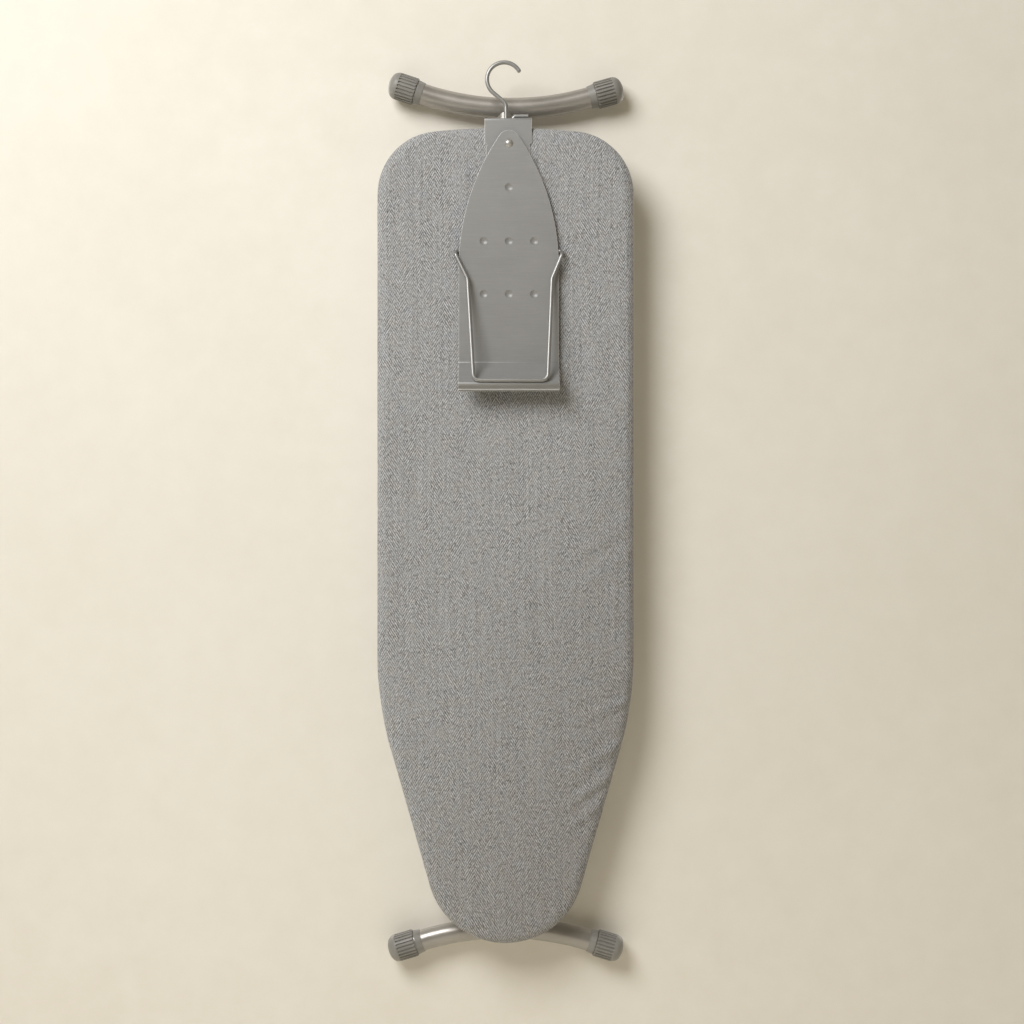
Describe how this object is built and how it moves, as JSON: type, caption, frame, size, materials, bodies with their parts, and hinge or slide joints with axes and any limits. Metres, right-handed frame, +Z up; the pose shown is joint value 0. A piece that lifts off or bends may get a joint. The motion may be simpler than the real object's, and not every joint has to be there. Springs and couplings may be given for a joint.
{
  "type": "ironing board",
  "caption": "Folding ironing board with padded cloth top, scissor legs, sliding height lock, hanging hook and swinging iron rest, stored folded and hung up.",
  "frame": {"origin": "seat of the hanging hook, at the inside top of its bow, where it rests on a peg or rail", "axes": "+Z up along the board towards its square end, +X across the board to the viewer's right, +Y from the ironing face to the legs behind it"},
  "size_m": [0.384, 0.1274, 1.3601],
  "materials": {
    "cover_cloth": "soft heathered twill",
    "cover_lining": "gathered twill hem",
    "hem_cord": "braided elastic cord",
    "pad_felt": "needled felt",
    "deck_steel": "light grey powder coat",
    "frame_steel": "light grey powder coat",
    "tube_steel": "silver grey powder coat, satin",
    "rest_steel": "horizontally brushed",
    "bright_wire": "bright drawn wire",
    "zinc_steel": "zinc plated",
    "cap_plastic": "dark grey, moulded",
    "slider_plastic": "black glass-filled nylon",
    "grip_rubber": "soft dark grey sleeve",
    "bush_plastic": "natural nylon"
  },
  "bodies": {
    "board": {"cover": "cover_cloth", "cover_hem": "cover_lining", "hem_cord": "hem_cord", "pad": "pad_felt", "deck_panel": "deck_steel", "board_rim": "frame_steel", "cross_channels": "frame_steel", "cross_straps": "frame_steel", "hinge_bracket_left": "frame_steel", "hinge_bracket_right": "frame_steel", "hinge_rivets": "zinc_steel", "hinge_pin": "zinc_steel", "guide_rod": "zinc_steel", "rod_bracket_lower": "frame_steel", "rod_bracket_upper": "frame_steel", "rod_rivets": "zinc_steel", "rod_rings": "zinc_steel", "hanger_bracket": "rest_steel", "hanger_rivets": "zinc_steel", "hook_wire": "bright_wire", "rest_rivet": "zinc_steel", "rest_washer": "bush_plastic"},
    "iron_rest": {"rest_plate": "rest_steel", "rest_guard": "bright_wire"},
    "rear_leg": {"rear_leg_tube": "tube_steel", "rear_tube_plug": "cap_plastic", "hinge_tube": "tube_steel", "hinge_bushes": "bush_plastic", "pivot_bush": "zinc_steel", "rear_foot_bar": "tube_steel", "rear_collar_left": "cap_plastic", "rear_collar_right": "cap_plastic", "rear_cap_left": "cap_plastic", "rear_cap_right": "cap_plastic"},
    "front_leg": {"front_tube_left": "tube_steel", "front_tube_right": "tube_steel", "front_tube_plugs": "cap_plastic", "front_leg_stay": "tube_steel", "front_foot_bar": "tube_steel", "front_collar_left": "cap_plastic", "front_collar_right": "cap_plastic", "front_cap_left": "cap_plastic", "front_cap_right": "cap_plastic", "pivot_bolt": "zinc_steel", "pivot_nut": "zinc_steel", "pivot_washer": "zinc_steel", "pivot_spacers": "bush_plastic", "slider_axle": "zinc_steel", "axle_caps": "zinc_steel"},
    "slider": {"slider_carriage": "slider_plastic", "finger_grip": "grip_rubber", "lock_pin": "zinc_steel", "lock_spring": "zinc_steel"},
    "lock_lever": {"lock_plate": "zinc_steel", "lever_grip": "grip_rubber"}
  },
  "joints": [
    {"name": "leg_fold", "type": "hinge", "parent": "board", "child": "rear_leg", "pos_m": [0.002, 0.021, -1.07925], "axis": [-1, 0, 0], "range_deg": [0, 56]},
    {"name": "leg_cross", "type": "hinge", "parent": "rear_leg", "child": "front_leg", "pos_m": [0.002, 0.047, -0.67925], "axis": [-1, 0, 0], "range_deg": [-112, 0]},
    {"name": "slider_pivot", "type": "hinge", "parent": "front_leg", "child": "slider", "pos_m": [0.002, 0.021, -0.27925], "axis": [-1, 0, 0], "range_deg": [0, 56]},
    {"name": "lock_squeeze", "type": "hinge", "parent": "slider", "child": "lock_lever", "pos_m": [-0.01, 0.01, -0.23025], "axis": [0, 1, 0], "range_deg": [0, 8], "stiffness_Nm_per_rad": 2, "springref_deg": -10.03, "deforming": ["lock_spring"]},
    {"name": "rest_swing", "type": "hinge", "parent": "board", "child": "iron_rest", "pos_m": [0.007, -0.02, -0.12195], "axis": [0, 1, 0], "range_deg": [-180, 180]}
  ],
  "couplings": [
    {"joint": "leg_cross", "follows": "leg_fold", "ratio": -2},
    {"joint": "slider_pivot", "follows": "leg_fold", "ratio": 1}
  ]
}
